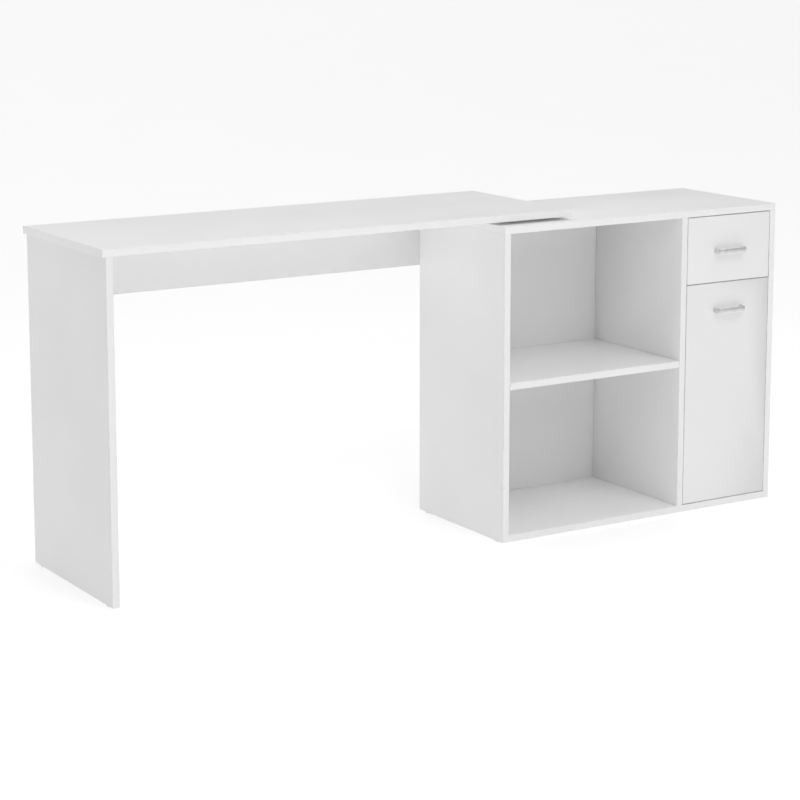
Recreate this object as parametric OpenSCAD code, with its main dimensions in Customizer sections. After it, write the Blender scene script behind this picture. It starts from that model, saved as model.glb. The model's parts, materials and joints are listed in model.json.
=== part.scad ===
// Corner desk: a cabinet with open shelves, one drawer and one door, and a
// desktop on a leg panel that swings round a pivot plate on the cabinet's top.
// Straight at rest, L-shaped when the desktop has swung through 90 degrees.
// Millimetres, +Z up. The origin is on the floor, under the middle of the whole
// object. Inside the modules, positions are counted from the datum: the
// cabinet's front left corner at floor level, X right, Y back, Z up.

/* [Boards] */
// Thickness of the main boards
board_t = 16; // [15:1:19]
// Thickness of the cabinet back and the drawer bottom
thin_t = 3; // [2.5:0.5:4]
// Gap round the drawer front and the door
front_gap = 2; // [1.8:0.1:3]

/* [Cabinet] */
// Outer width of the cabinet
cab_w = 786; // [760:1:900]
// Outer depth of the cabinet
cab_d = 352; // [350:1:380]
// Clear width of the open shelf bay
bay_w = 486; // [400:1:500]
// Height of the open shelf's underside above the floor
shelf_z = 355; // [300:1:420]
// Height of the gap between the door and the drawer front
split_z = 549; // [520:1:560]
// Distance from the back panel to the rear edge of the cabinet
back_inset = 15; // [10:1:16]

/* [Desktop] */
// Height of the desktop's upper face
desk_h = 750; // [740:1:770]
// How far the desktop reaches left of the cabinet
desk_reach = 965; // [900:1:1100]
// How far the desktop lies over the cabinet
desk_overlap = 199; // [190:1:220]
// Depth of the desktop
desk_depth = 405; // [400:1:420]
// How far the desktop's front edge is behind the cabinet front
desk_setback = 21; // [10:1:30]
// Height of the gap between the cabinet and the desktop
desk_lift = 8; // [8:0.5:12]

/* [Leg and apron] */
// How far the leg is inside the desktop's left end
leg_inset = 7; // [0:1:20]
// How far the leg is inside the desktop's rear edge
leg_rear_inset = 4; // [0:1:8]
// Height of the rear apron
apron_h = 146; // [100:1:200]
// How far the apron is inside the leg's rear edge
apron_inset = 16; // [10:1:18]
// How far the apron runs on behind the cabinet
apron_reach = 60; // [40:1:150]

/* [Handles] */
// Overall length of a handle
handle_len = 88; // [80:1:120]
// How far a handle stands out
handle_out = 22; // [20:1:32]
// Height of a handle's strap
handle_strap = 12; // [10:1:16]
// Distance from the drawer front's top edge down to its handle
drawer_handle_drop = 83; // [60:1:100]
// Distance from the door's top edge down to its handle
door_handle_drop = 65; // [50:1:120]

/* [Drawer] */
// Length of the drawer box
drawer_len = 300; // [280:1:300]
// Height of the drawer's sides
drawer_side_h = 110; // [90:1:120]
// Thickness of the drawer's sides and back
drawer_t = 12; // [12:1:13]

/* [Hidden] */
$fn = 48;
eps = 0.01;
bore_gap = 0.05;      // radial room round a peg, a screw or a pin

// Heights
glide_h = 3;
base_z = glide_h;                     // underside of the boards
floor_z = base_z + board_t;           // upper face of the cabinet's bottom board
desk_z = desk_h - board_t;            // underside of the desktop
cab_h = desk_z - desk_lift;           // upper face of the cabinet
lid_z = cab_h - board_t;              // underside of the cabinet's top board
mid_z = split_z - board_t / 2;        // underside of the board under the drawer

// Widths
right_in = cab_w - board_t;           // inner face of the right side
div_x = board_t + bay_w;              // left face of the divider
box_x = div_x + board_t;              // left end of the drawer and door bay
front_mid = (box_x + right_in) / 2;

// Depths
back_y = cab_d - back_inset - thin_t; // front face of the back panel
inner_d = back_y - 0.5;               // depth of the boards in front of it
mid_setback = 10;                     // room for the door's hinged edge, which turns back a little
groove_d = 4.5;                       // depth of the grooves for the thin boards
thin_tongue = 4;                      // how far the thin boards go into them
desk_rear = desk_setback + desk_depth;
leg_x = leg_inset - desk_reach;
leg_rear = desk_rear - leg_rear_inset;
apron_y = leg_rear - apron_inset - board_t;

// The datum lies here, so that the origin is under the middle of the object
datum = [(desk_reach - cab_w) / 2, -(desk_rear - handle_out) / 2, 0];

// Cam fittings. Each joint has a place on the joint plane and a turn that lays
// its Z axis towards the board that takes the bolt, and its Y axis out of the
// face that shows the cam. A dowel sits beside each cam, along its X axis.
cam_r = 7.5;
cam_h = 12;
cam_back = 24;
bolt_r = 3;
bolt_tip_r = 2.5;
bolt_in = 10;
dowel_r = 4;
dowel_step = 32;
dowel_in = 10;
dowel_out = 20;
slot_size = [8, 2, 1.4];               // one arm of the cross slot in a cam
TO_LID_RIGHT_FACE = [0, 0, -90];
TO_LID_LEFT_FACE = [0, 0, 90];
TO_LID_REAR_FACE = [0, 0, 0];
TO_LEFT_UNDERSIDE = [-90, 0, 90];
TO_RIGHT_UNDERSIDE = [-90, 0, -90];
TO_FLOOR_RIGHT_FACE = [180, 0, 90];
TO_LEFT_REAR_FACE = [0, -90, 0];
joint_y = [70, cab_d - 90];            // rows of fittings in the cabinet, front and rear
cab_joints = [
    for (y = joint_y) each [
        [[board_t / 2, y, lid_z], TO_LID_RIGHT_FACE],
        [[cab_w - board_t / 2, y, lid_z], TO_LID_LEFT_FACE],
        [[div_x + board_t / 2, y, lid_z], TO_LID_RIGHT_FACE],
        [[div_x + board_t / 2, y, floor_z], TO_FLOOR_RIGHT_FACE],
        [[board_t, y, base_z + board_t / 2], TO_LEFT_UNDERSIDE],
        [[right_in, y, base_z + board_t / 2], TO_RIGHT_UNDERSIDE],
        [[box_x, y, split_z], TO_LEFT_UNDERSIDE],
        [[right_in, y, split_z], TO_RIGHT_UNDERSIDE]
    ]
];
apron_len = apron_reach - leg_x - board_t;
leg_joint_inset = 80;                 // from the leg's front and rear edges
apron_joint_shares = [0.12, 0.5, 0.9]; // places along the apron, as shares of its length
apron_end_share = 0.7;                // place down the apron's end, as a share of its height
desk_joints = [
    for (y = [desk_setback + leg_joint_inset, leg_rear - leg_joint_inset])
        [[leg_x + board_t / 2, y, desk_z], TO_LID_RIGHT_FACE],
    for (k = apron_joint_shares)
        [[leg_x + board_t + k * apron_len, apron_y + board_t / 2, desk_z], TO_LID_REAR_FACE],
    [[leg_x + board_t, apron_y + board_t / 2, desk_z - apron_h * apron_end_share], TO_LEFT_REAR_FACE]
];

// Shelf pins
pin_r = 2.5;
pin_in = 9;
pin_out = 9;
shelf_play = 1;                       // room at each end of the shelf
pin_inset = 45;                       // from the front and rear edges of the shelf
pin_spots = [for (y = [pin_inset, inner_d - pin_inset]) for (side = [0, 1]) [side, y]];

// Glides, each a disc with a nail
glide_r = 7.5;
nail_r = 1.5;
nail_in = 12;
glide_inset = 30;                     // from the front and rear edges of a board
cab_glide_spots = [for (x = [board_t / 2, cab_w - board_t / 2]) for (y = [glide_inset, cab_d - glide_inset])
    [x, y]];
leg_glide_spots = [for (y = [desk_setback + glide_inset, leg_rear - glide_inset])
    [leg_x + board_t / 2, y]];

// Pivot plates: the upper one turns round the pin on the lower one
pivot = [desk_overlap / 2, desk_setback + desk_depth / 2];
plate_w = 130;
plate_t = 2;
plate_corner = 12;
pivot_r = 6;
pivot_head_r = 10;
pivot_head_h = 2;
head_room = 0.3;                      // between the pin's head and the upper plate
head_clearance = 3;                   // round the head, in the desktop's hollow
ring_play = 0.4;                      // between the ring and the upper plate
ring_r = 55;
ring_hole_r = 35;
ring_h = desk_lift - 2 * plate_t - ring_play;
plate_screw_offset = 52;
plate_screw_spots = [for (x = [-1, 1]) for (y = [-1, 1]) [x, y] * plate_screw_offset];

// Wood screws
screw_r = 1.75;
screw_head_r = 3.6;
screw_cone = 2;                       // height of the countersunk head
screw_len = 13;

// Drawer
slide_w = 12.5;                        // room for a runner on each side
draw_x = box_x + slide_w;              // outer face of the drawer's left side
draw_end = right_in - slide_w;         // outer face of its right side
draw_y = board_t;
draw_rear = draw_y + drawer_len;
front_bottom = split_z + front_gap / 2;
front_top = lid_z - front_gap;
draw_z = mid_z + board_t + 9;          // lower edge of the drawer's sides
draw_floor = draw_z + 6;               // underside of the drawer's bottom
draw_peg_r = 3;
draw_peg_z = [draw_z + 32, draw_z + drawer_side_h - 22];
front_peg = [10, 30];                 // how far a front peg is in the front, and its length
back_peg = [4, 28];                   // the same for a peg through the side into the back

// Runners, one pair of rails on each side with balls between their flanges
rail_t = 1.2;
rail_z = draw_z + 62;                  // centre line of the runners
outer_half = 17.5;
outer_lip = 9.5;
outer_lip_t = 1.4;
inner_half = 12.1;
inner_lip = 9;
rail_y = draw_y + 4;
rail_len = drawer_len - 10;
ball_r = 1.7;
ball_x = 6.5;
ball_z = (inner_half + outer_half - outer_lip_t) / 2;
strip_len = 70;
strip_y = rail_y + 115;
strip_w = 5;
strip_t = 0.6;
ball_step = 14;
balls_each = 5;                        // balls in one strip
first_ball_y = strip_y + (strip_len - (balls_each - 1) * ball_step) / 2;
rail_screw_y = [rail_y + 14, rail_y + rail_len - 20];
inner_screw_shift = 8;                // keeps the inner rail's screws off the outer rail's
inner_screw_len = 10;

// Door and its concealed hinges. The pin is beside the door's hinged edge and
// behind its front face, so the edge clears the cabinet's side as it opens.
door_x = box_x + front_gap;
door_end = right_in - front_gap;
door_z = floor_z + front_gap;
door_top = split_z - front_gap / 2;
pin_from_edge = 14;
pin_from_front = 6.5;
hinge_at = [door_end - pin_from_edge, pin_from_front];
hinge_inset = 100;                    // from the door's lower and upper edges
hinge_z = [door_z + hinge_inset, door_top - hinge_inset];
cup_r = 17.5;
cup_depth = 12.5;
cup_wall = 0.6;
cup_x = pin_from_edge - 22.5;          // cup centre, from the pin
door_back = board_t - pin_from_front;  // rear face of the door, from the pin
hinge_pin_r = 1.25;
eye_r = 2.1;
arm_t = 1.8;
arm_w = 12;
arm_hook = 13;                         // how far the arm goes round the door's edge
arm_back = 19;
arm_root = 10.1;
arm_end = 73;
lug_gap = 0.4;
lug_t = 3.6;
flange_t = 0.8;
cup_screw = [cup_x - 9.5, 22.5];
cup_screw_len = 12;
cup_wing_x = [cup_x - 15, cup_x - 4]; // the flange's wings, which take the screws
cup_wing_half = 28;
lug_half = 2.6;
seat_y = 24;                          // front end of the block that the arm lies on
wall_plate_y = [30, 46];
wall_plate_half = 22;
wall_plate_mid = (wall_plate_y[0] + wall_plate_y[1]) / 2;
plate_base_t = 2;
plate_screw_z = 16;

// Magnetic catch under the board above the cupboard
catch_at = [box_x + 14, draw_y + 1.6];
catch_size = [30, 20, 12];
catch_screw_at = [7, 14];             // from the catch's end and from its front face
strike_inset = 2;
strike_nail = 10;
strike_t = 1.2;

// Handles
handle_foot = 8;
handle_bar = 5;
handle_bend = 12;
handle_screw_r = 2;
handle_screw_in = 10;
handle_screw_play = 0.25;
screw_pan = [4, 2.2];                  // radius and height of a machine screw's head
handle_centres = handle_len - handle_foot;
drawer_handle_z = front_top - drawer_handle_drop;
door_handle_z = door_top - door_handle_drop;

// ---------- helpers ----------

// A box between two corners
module board(lo, hi) {
    translate(lo) cube(hi - lo);
}

// Rods along each axis
module rod_x(p, len, r) {
    translate(p) rotate([0, 90, 0]) cylinder(h = len, r = r);
}

module rod_y(p, len, r) {
    translate(p) rotate([-90, 0, 0]) cylinder(h = len, r = r);
}

module rod_z(p, len, r) {
    translate(p) cylinder(h = len, r = r);
}

// Something at every joint of a list
module at_joints(joints) {
    for (j = joints) translate(j[0]) rotate(j[1]) children();
}

// A copy for each end of the drawer bay: as drawn, and mirrored
module both_sides() {
    children();
    mirrored_side() children();
}

module mirrored_side() {
    translate([2 * front_mid, 0, 0]) mirror([1, 0, 0]) children();
}

// The hollows for one cam, its bolt and its dowel, in both boards at once
module joint_hollows() {
    rod_y([0, board_t / 2 - cam_h - 0.5, -cam_back], cam_h + 1, cam_r + bore_gap);
    rod_z([0, 0, -cam_back], cam_back + eps, bolt_r + 0.5);
    rod_z([0, 0, -eps], bolt_in + 0.5, bolt_tip_r + bore_gap);
    rod_z([dowel_step, 0, -dowel_out - 0.5], dowel_in + dowel_out + 1, dowel_r + bore_gap);
}

module cam() {
    difference() {
        rod_y([0, board_t / 2 - cam_h, -cam_back], cam_h, cam_r);
        rod_z([0, 0, -cam_back - bolt_r], cam_back, bolt_r + 0.5);
        for (turn = [45, 135])
            translate([0, board_t / 2, -cam_back]) rotate([0, turn, 0]) cube(slot_size, center = true);
    }
}

module cam_bolt() {
    rod_z([0, 0, -cam_back], cam_back, bolt_r);
    rod_z([0, 0, -eps], bolt_in + eps, bolt_tip_r);
}

module dowel() {
    rod_z([dowel_step, 0, -dowel_out], dowel_in + dowel_out, dowel_r);
}

// A countersunk wood screw, head up at the origin and shaft down
module wood_screw(len = screw_len) {
    rotate([180, 0, 0]) {
        cylinder(h = screw_cone, r1 = screw_head_r, r2 = screw_r);
        cylinder(h = len, r = screw_r);
    }
}

module screw_hollow(len = screw_len) {
    rotate([180, 0, 0]) {
        translate([0, 0, -eps])
            cylinder(h = screw_cone + eps, r1 = screw_head_r + bore_gap, r2 = screw_r + bore_gap);
        cylinder(h = len + 0.5, r = screw_r + bore_gap);
    }
}

module glide() {
    cylinder(h = glide_h, r = glide_r);
    cylinder(h = glide_h + nail_in, r = nail_r);
}

module nail_hollows(spots) {
    for (s = spots) rod_z([s[0], s[1], base_z - eps], nail_in + 0.5, nail_r + bore_gap);
}

module glides(spots) {
    for (s = spots) translate([s[0], s[1], 0]) glide();
}

// The room for the cabinet's back panel: its own shape with a little play
module back_groove() {
    board(
        [board_t - groove_d, back_y - 0.1, floor_z - groove_d],
        [right_in + groove_d, back_y + thin_t + 0.1, lid_z + groove_d]
    );
}

module shelf_pin_hollows() {
    for (s = pin_spots)
        rod_x([s[0] == 0 ? board_t - pin_in - 0.5 : div_x - eps, s[1], shelf_z - pin_r],
            pin_in + 0.5 + eps, pin_r + bore_gap);
}

// ---------- cabinet boards ----------

module cab_side(x) {
    difference() {
        board([x, 0, base_z], [x + board_t, cab_d, lid_z]);
        back_groove();
        at_joints(cab_joints) joint_hollows();
        nail_hollows(cab_glide_spots);
        shelf_pin_hollows();
        hinge_screw_hollows();
        outer_rail_screw_hollows();
    }
}

module cab_side_left() {
    color("white") translate(datum) cab_side(0);
}

module cab_side_right() {
    color("white") translate(datum) cab_side(right_in);
}

module cab_divider() {
    color("white") translate(datum) difference() {
        board([div_x, 0, floor_z], [box_x, inner_d, lid_z]);
        at_joints(cab_joints) joint_hollows();
        shelf_pin_hollows();
        outer_rail_screw_hollows();
    }
}

module cab_top() {
    color("whitesmoke") translate(datum) difference() {
        board([0, 0, lid_z], [cab_w, cab_d, cab_h]);
        back_groove();
        at_joints(cab_joints) joint_hollows();
        pivot_base_hollows();
    }
}

module cab_bottom() {
    color("white") translate(datum) difference() {
        board([board_t, 0, base_z], [right_in, cab_d, floor_z]);
        back_groove();
        at_joints(cab_joints) joint_hollows();
    }
}

module cab_mid_board() {
    color("white") translate(datum) difference() {
        board([box_x, draw_y + mid_setback, mid_z], [right_in, inner_d, mid_z + board_t]);
        at_joints(cab_joints) joint_hollows();
        catch_screw_spots() screw_hollow();
    }
}

module cab_shelf() {
    color("white") translate(datum)
        board([board_t + shelf_play, 0, shelf_z], [div_x - shelf_play, inner_d, shelf_z + board_t]);
}

module cab_back() {
    color("gainsboro") translate(datum)
        board(
            [board_t - thin_tongue, back_y, floor_z - thin_tongue],
            [right_in + thin_tongue, back_y + thin_t, lid_z + thin_tongue]
        );
}

// ---------- cabinet fittings ----------

module shelf_pins() {
    color("silver") translate(datum) for (s = pin_spots)
        rod_x([s[0] == 0 ? board_t - pin_in : div_x - pin_out, s[1], shelf_z - pin_r],
            pin_in + pin_out, pin_r);
}

module cab_dowels() {
    color("burlywood") translate(datum) at_joints(cab_joints) dowel();
}

module cab_cams() {
    color("silver") translate(datum) at_joints(cab_joints) cam();
}

module cab_cam_bolts() {
    color("silver") translate(datum) at_joints(cab_joints) cam_bolt();
}

module cab_glides() {
    color("white") translate(datum) glides(cab_glide_spots);
}

// ---------- pivot between cabinet and desktop ----------

// A square plate with round corners, standing on z = 0
module rounded_plate(w, t, corner) {
    corner_at = w / 2 - corner;
    linear_extrude(t) {
        square([w - 2 * corner, w], center = true);
        square([w, w - 2 * corner], center = true);
        for (x = [-1, 1]) for (y = [-1, 1]) translate([x, y] * corner_at) circle(corner);
    }
}

module pivot_base_hollows() {
    for (s = plate_screw_spots)
        translate([pivot[0] + s[0], pivot[1] + s[1], cab_h + plate_t]) screw_hollow();
}

module pivot_base_plate() {
    color("lightgray") translate(datum) difference() {
        translate([pivot[0], pivot[1], cab_h]) rounded_plate(plate_w, plate_t, plate_corner);
        rod_z([pivot[0], pivot[1], cab_h - 1], plate_t + 2, pivot_r + bore_gap);
        pivot_base_hollows();
    }
}

module pivot_glide_ring() {
    color("white") translate(datum + [pivot[0], pivot[1], cab_h + plate_t]) difference() {
        cylinder(h = ring_h, r = ring_r);
        rod_z([0, 0, -1], ring_h + 2, ring_hole_r);
    }
}

module pivot_pin() {
    head_z = desk_lift + head_room;
    color("silver") translate(datum + [pivot[0], pivot[1], cab_h]) {
        cylinder(h = head_z + eps, r = pivot_r);
        rod_z([0, 0, head_z], pivot_head_h, pivot_head_r);
    }
}

module pivot_base_screws() {
    color("silver") translate(datum + [pivot[0], pivot[1], cab_h + plate_t])
        for (s = plate_screw_spots) translate([s[0], s[1], 0]) wood_screw();
}

module pivot_top_hollows() {
    for (s = plate_screw_spots)
        translate([pivot[0] + s[0], pivot[1] + s[1], desk_z - plate_t]) mirror([0, 0, 1]) screw_hollow();
}

module pivot_top_plate() {
    color("lightgray") translate(datum) difference() {
        translate([pivot[0], pivot[1], desk_z - plate_t]) rounded_plate(plate_w, plate_t, plate_corner);
        rod_z([pivot[0], pivot[1], desk_z - plate_t - 1], plate_t + 2, pivot_r + bore_gap);
        pivot_top_hollows();
    }
}

module pivot_top_screws() {
    color("silver") translate(datum + [pivot[0], pivot[1], desk_z - plate_t])
        for (s = plate_screw_spots) translate([s[0], s[1], 0]) mirror([0, 0, 1]) wood_screw();
}

// ---------- desktop, leg and apron ----------

module desktop() {
    color("whitesmoke") translate(datum) difference() {
        board([-desk_reach, desk_setback, desk_z], [desk_overlap, desk_rear, desk_h]);
        at_joints(desk_joints) joint_hollows();
        pivot_top_hollows();
        rod_z([pivot[0], pivot[1], desk_z - 1], pivot_head_h + head_clearance, pivot_head_r + head_clearance);
    }
}

module leg_panel() {
    color("white") translate(datum) difference() {
        board([leg_x, desk_setback, base_z], [leg_x + board_t, leg_rear, desk_z]);
        at_joints(desk_joints) joint_hollows();
        nail_hollows(leg_glide_spots);
    }
}

module apron() {
    color("white") translate(datum) difference() {
        board([leg_x + board_t, apron_y, desk_z - apron_h], [apron_reach, apron_y + board_t, desk_z]);
        at_joints(desk_joints) joint_hollows();
    }
}

module desk_dowels() {
    color("burlywood") translate(datum) at_joints(desk_joints) dowel();
}

module desk_cams() {
    color("silver") translate(datum) at_joints(desk_joints) cam();
}

module desk_cam_bolts() {
    color("silver") translate(datum) at_joints(desk_joints) cam_bolt();
}

module leg_glides() {
    color("white") translate(datum) glides(leg_glide_spots);
}

// ---------- drawer runners ----------

// A rail: a web with two flanges, its web at x = 0 and its flanges towards +X
module rail(half, lip, lip_t) {
    board([0, rail_y, rail_z - half], [rail_t, rail_y + rail_len, rail_z + half]);
    for (z = [rail_z - half, rail_z + half - lip_t])
        board([0, rail_y, z], [lip, rail_y + rail_len, z + lip_t]);
}

module outer_rail_screw_hollows() {
    both_sides() for (y = rail_screw_y)
        translate([box_x + rail_t, y, rail_z]) rotate([0, 90, 0]) screw_hollow();
}

module inner_rail_screw_hollows() {
    both_sides() for (y = rail_screw_y)
        translate([draw_x - rail_t, y + inner_screw_shift, rail_z]) rotate([0, -90, 0])
            screw_hollow(inner_screw_len);
}

module outer_rail() {
    difference() {
        translate([box_x, 0, 0]) rail(outer_half, outer_lip, outer_lip_t);
        outer_rail_screw_hollows();
    }
}

module inner_rail() {
    difference() {
        translate([draw_x, 0, 0]) mirror([1, 0, 0]) rail(inner_half, inner_lip, rail_t);
        inner_rail_screw_hollows();
    }
}

module runner_outer_left() {
    color("lightgray") translate(datum) outer_rail();
}

module runner_outer_right() {
    color("lightgray") translate(datum) mirrored_side() outer_rail();
}

module runner_outer_screws() {
    color("silver") translate(datum) both_sides() for (y = rail_screw_y)
        translate([box_x + rail_t, y, rail_z]) rotate([0, 90, 0]) wood_screw();
}

module runner_inner_left() {
    color("silver") translate(datum) inner_rail();
}

module runner_inner_right() {
    color("silver") translate(datum) mirrored_side() inner_rail();
}

module runner_inner_screws() {
    color("silver") translate(datum) both_sides() for (y = rail_screw_y)
        translate([draw_x - rail_t, y + inner_screw_shift, rail_z]) rotate([0, -90, 0])
            wood_screw(inner_screw_len);
}

// The places of the balls in both runners
module at_balls() {
    both_sides() for (side = [-1, 1]) for (k = [0 : balls_each - 1])
        translate([box_x + ball_x, first_ball_y + k * ball_step, rail_z + side * ball_z]) children();
}

module runner_ball_strips() {
    color("gray") translate(datum) difference() {
        both_sides() for (side = [-1, 1])
            translate([box_x + ball_x, strip_y + strip_len / 2, rail_z + side * ball_z])
                cube([strip_w, strip_len, strip_t], center = true);
        at_balls() rod_z([0, 0, -1], 2, ball_r + bore_gap);
    }
}

module runner_balls() {
    color("silver") translate(datum) at_balls() sphere(r = ball_r);
}

// ---------- drawer ----------

module drawer_groove() {
    board(
        [draw_x + drawer_t - groove_d, draw_y - groove_d, draw_floor - 0.1],
        [draw_end - drawer_t + groove_d, draw_rear + 1, draw_floor + thin_t + 0.1]
    );
}

// Pegs along Y join the front to the sides, pegs along X join the back
module drawer_peg_set(play) {
    r = draw_peg_r + play;
    both_sides() for (z = draw_peg_z) {
        rod_y([draw_x + drawer_t / 2, draw_y - front_peg[0] - play, z], front_peg[1] + 2 * play, r);
        rod_x([draw_x + back_peg[0] - play, draw_rear - drawer_t / 2, z], back_peg[1] + 2 * play, r);
    }
}

module drawer_front() {
    color("white") translate(datum) difference() {
        board([door_x, 0, front_bottom], [door_end, draw_y, front_top]);
        drawer_groove();
        drawer_peg_set(bore_gap);
        handle_hollows(drawer_handle_z);
    }
}

module drawer_side() {
    difference() {
        board([draw_x, draw_y, draw_z], [draw_x + drawer_t, draw_rear, draw_z + drawer_side_h]);
        drawer_groove();
        drawer_peg_set(bore_gap);
        inner_rail_screw_hollows();
    }
}

module drawer_side_left() {
    color("gainsboro") translate(datum) drawer_side();
}

module drawer_side_right() {
    color("gainsboro") translate(datum) mirrored_side() drawer_side();
}

module drawer_back() {
    color("gainsboro") translate(datum) difference() {
        board(
            [draw_x + drawer_t, draw_rear - drawer_t, draw_floor + thin_t + 0.2],
            [draw_end - drawer_t, draw_rear, draw_z + drawer_side_h]
        );
        drawer_peg_set(bore_gap);
    }
}

module drawer_bottom() {
    color("whitesmoke") translate(datum)
        board(
            [draw_x + drawer_t - thin_tongue, draw_y - thin_tongue, draw_floor],
            [draw_end - drawer_t + thin_tongue, draw_rear, draw_floor + thin_t]
        );
}

module drawer_dowels() {
    color("burlywood") translate(datum) drawer_peg_set(0);
}

// ---------- handles ----------

// A flat shape with its back edge on y = 0 and its two front corners rounded
module rounded_front(w, d, r) {
    intersection() {
        union() {
            translate([-w / 2, -(d - r)]) square([w, d]);
            translate([-w / 2 + r, -d]) square([w - 2 * r, d]);
            for (x = [-1, 1]) translate([x * (w / 2 - r), -(d - r)]) circle(r);
        }
        translate([-w, -2 * d]) square([2 * w, 2 * d]);
    }
}

// A strap handle standing out towards -Y, its feet on y = 0
module handle() {
    difference() {
        translate([0, 0, -handle_strap / 2]) linear_extrude(handle_strap) difference() {
            rounded_front(handle_len, handle_out, handle_bend);
            translate([0, 1]) rounded_front(
                handle_len - 2 * handle_foot, handle_out - handle_bar + 1, handle_bend - handle_bar
            );
        }
        for (x = [-1, 1])
            rod_y([x * handle_centres / 2, -handle_screw_in - 0.5, 0], handle_screw_in + 1,
                handle_screw_r + bore_gap);
    }
}

// Machine screws from behind the front, through it and into the feet
module handle_screws(z) {
    for (x = [-1, 1]) translate([front_mid + x * handle_centres / 2, 0, z]) {
        rod_y([0, -handle_screw_in, 0], handle_screw_in + board_t + eps, handle_screw_r);
        rod_y([0, board_t, 0], screw_pan[1], screw_pan[0]);
    }
}

module handle_hollows(z) {
    for (x = [-1, 1])
        rod_y([front_mid + x * handle_centres / 2, -1, z], board_t + 2, handle_screw_r + handle_screw_play);
}

module drawer_handle() {
    color("silver") translate(datum + [front_mid, 0, drawer_handle_z]) handle();
}

module drawer_handle_screws() {
    color("silver") translate(datum) handle_screws(drawer_handle_z);
}

module door_handle() {
    color("silver") translate(datum + [front_mid, 0, door_handle_z]) handle();
}

module door_handle_screws() {
    color("silver") translate(datum) handle_screws(door_handle_z);
}

// ---------- door and hinges ----------

// Something at both hinges, counted from the middle of the hinge pin
module at_hinges() {
    for (z = hinge_z) translate([hinge_at[0], hinge_at[1], z]) children();
}

module cup_screw_hollows() {
    at_hinges() for (side = [-1, 1])
        translate([cup_screw[0], door_back + flange_t, side * cup_screw[1]])
            rotate([-90, 0, 0]) screw_hollow(cup_screw_len);
}

module door() {
    color("white") translate(datum) difference() {
        board([door_x, 0, door_z], [door_end, board_t, door_top]);
        at_hinges() rod_y([cup_x, door_back - cup_depth, 0], cup_depth + 1, cup_r + bore_gap);
        cup_screw_hollows();
        handle_hollows(door_handle_z);
        rod_y(strike_pin_at(), strike_nail + 1, nail_r + bore_gap);
    }
}

module hinge_cup() {
    lug_z = arm_w / 2 + lug_gap;
    inside = door_back - cup_depth + cup_wall;
    difference() {
        union() {
            difference() {
                rod_y([cup_x, door_back - cup_depth, 0], cup_depth + eps, cup_r);
                rod_y([cup_x, inside, 0], cup_depth, cup_r - cup_wall);
            }
            difference() {
                union() {
                    rod_y([cup_x, door_back, 0], flange_t, cup_r + 1.5);
                    board(
                        [cup_wing_x[0], door_back, -cup_wing_half],
                        [cup_wing_x[1], door_back + flange_t, cup_wing_half]
                    );
                }
                rod_y([cup_x, door_back - 1, 0], flange_t + 2, cup_r - cup_wall);
            }
            for (side = [0, 1]) mirror([0, 0, side])
                board([-lug_half, inside - eps, lug_z], [lug_half, lug_half, lug_z + lug_t]);
        }
        rod_z([0, 0, -20], 40, hinge_pin_r + eps);
    }
}

module hinge_cups() {
    color("silver") translate(datum) difference() {
        at_hinges() hinge_cup();
        cup_screw_hollows();
    }
}

module hinge_pins() {
    len = arm_w + 2 * (lug_gap + lug_t);
    color("silver") translate(datum) at_hinges() rod_z([0, 0, -len / 2], len, hinge_pin_r);
}

module hinge_cup_screws() {
    color("silver") translate(datum) at_hinges() for (side = [-1, 1])
        translate([cup_screw[0], door_back + flange_t, side * cup_screw[1]])
            rotate([-90, 0, 0]) wood_screw(cup_screw_len);
}

// A strip of the arm between two points of its centre line
module arm_strip(a, b) {
    h = arm_t / 2;
    board(
        [min(a[0], b[0]) - h, min(a[1], b[1]) - h, -arm_w / 2],
        [max(a[0], b[0]) + h, max(a[1], b[1]) + h, arm_w / 2]
    );
}

module hinge_arms() {
    route = [[0, 0], [-arm_hook, 0], [-arm_hook, arm_back], [arm_root, arm_back], [arm_root, arm_end]];
    color("silver") translate(datum) at_hinges() difference() {
        union() {
            rod_z([0, 0, -arm_w / 2], arm_w, eye_r);
            for (k = [0 : len(route) - 2]) arm_strip(route[k], route[k + 1]);
        }
        rod_z([0, 0, -arm_w], 2 * arm_w, hinge_pin_r + bore_gap);
    }
}

module hinge_screw_hollows() {
    at_hinges() for (side = [-1, 1])
        translate([wall_from_pin() - plate_base_t, wall_plate_mid, side * plate_screw_z]) rotate([0, -90, 0])
            screw_hollow();
}

module hinge_plates() {
    wall = wall_from_pin();
    color("silver") translate(datum) difference() {
        at_hinges() {
            board(
                [wall - plate_base_t, wall_plate_y[0], -wall_plate_half],
                [wall, wall_plate_y[1], wall_plate_half]
            );
            board([arm_root + arm_t / 2, seat_y, -arm_w / 2], [wall, arm_end, arm_w / 2]);
        }
        hinge_screw_hollows();
    }
}

module hinge_plate_screws() {
    color("silver") translate(datum) at_hinges() for (side = [-1, 1])
        translate([wall_from_pin() - plate_base_t, wall_plate_mid, side * plate_screw_z]) rotate([0, -90, 0])
            wood_screw();
}

// Distance from the hinge pin to the face of the right side
function wall_from_pin() = right_in - hinge_at[0];

// ---------- magnetic catch ----------

function strike_pin_at() =
    [catch_at[0] + catch_size[0] / 2, board_t - strike_nail, mid_z - catch_size[2] / 2];

module catch_screw_spots() {
    for (x = [catch_screw_at[0], catch_size[0] - catch_screw_at[0]])
        translate([catch_at[0] + x, catch_at[1] + catch_screw_at[1], mid_z - 4]) mirror([0, 0, 1])
            children();
}

module magnetic_catch() {
    color("white") translate(datum) difference() {
        translate([catch_at[0], catch_at[1], mid_z - catch_size[2]]) cube(catch_size);
        catch_screw_spots() {
            screw_hollow();
            rod_z([0, 0, -1], 20, screw_head_r + 0.3);
        }
    }
}

module catch_screws() {
    color("silver") translate(datum) catch_screw_spots() wood_screw();
}

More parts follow.
